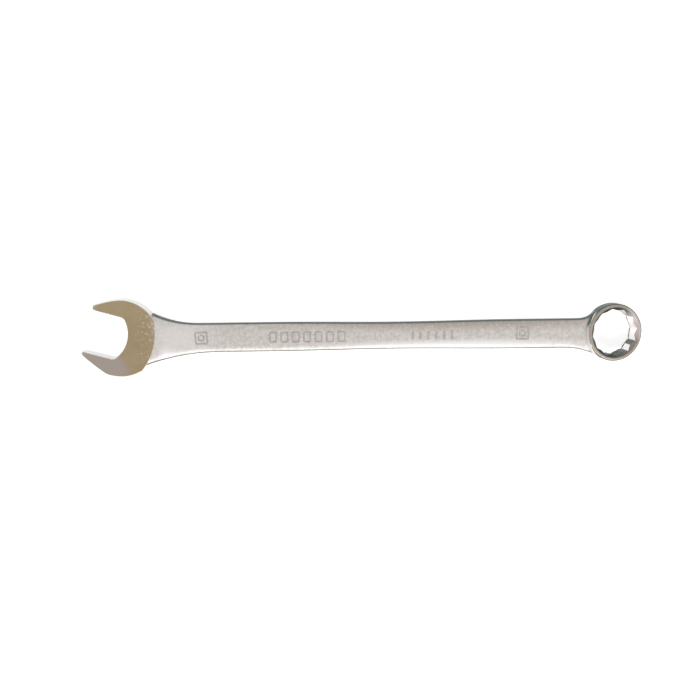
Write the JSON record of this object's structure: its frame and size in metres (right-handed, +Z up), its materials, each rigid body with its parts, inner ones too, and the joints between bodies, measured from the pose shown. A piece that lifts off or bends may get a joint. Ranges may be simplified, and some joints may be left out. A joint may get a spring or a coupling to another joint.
{
  "type": "combination wrench",
  "caption": "Slim combination wrench for a hexagon: open end angled in plan, crowned satin shank, and tilted ring end with a notched bore.",
  "frame": {"origin": "on the surface the wrench lies on, under the middle of its bounding box", "axes": "+X along the shank towards the ring end, +Y towards the upper jaw's side, +Z up from the marked face"},
  "size_m": [0.2004, 0.0278, 0.0106],
  "materials": {
    "polished_chrome": "polished",
    "satin_chrome": "satin",
    "satin_chrome_ring": "satin"
  },
  "bodies": {
    "root": {"open_end_head": "polished_chrome", "shank": "satin_chrome", "ring_end": "satin_chrome_ring"}
  },
  "joints": []
}
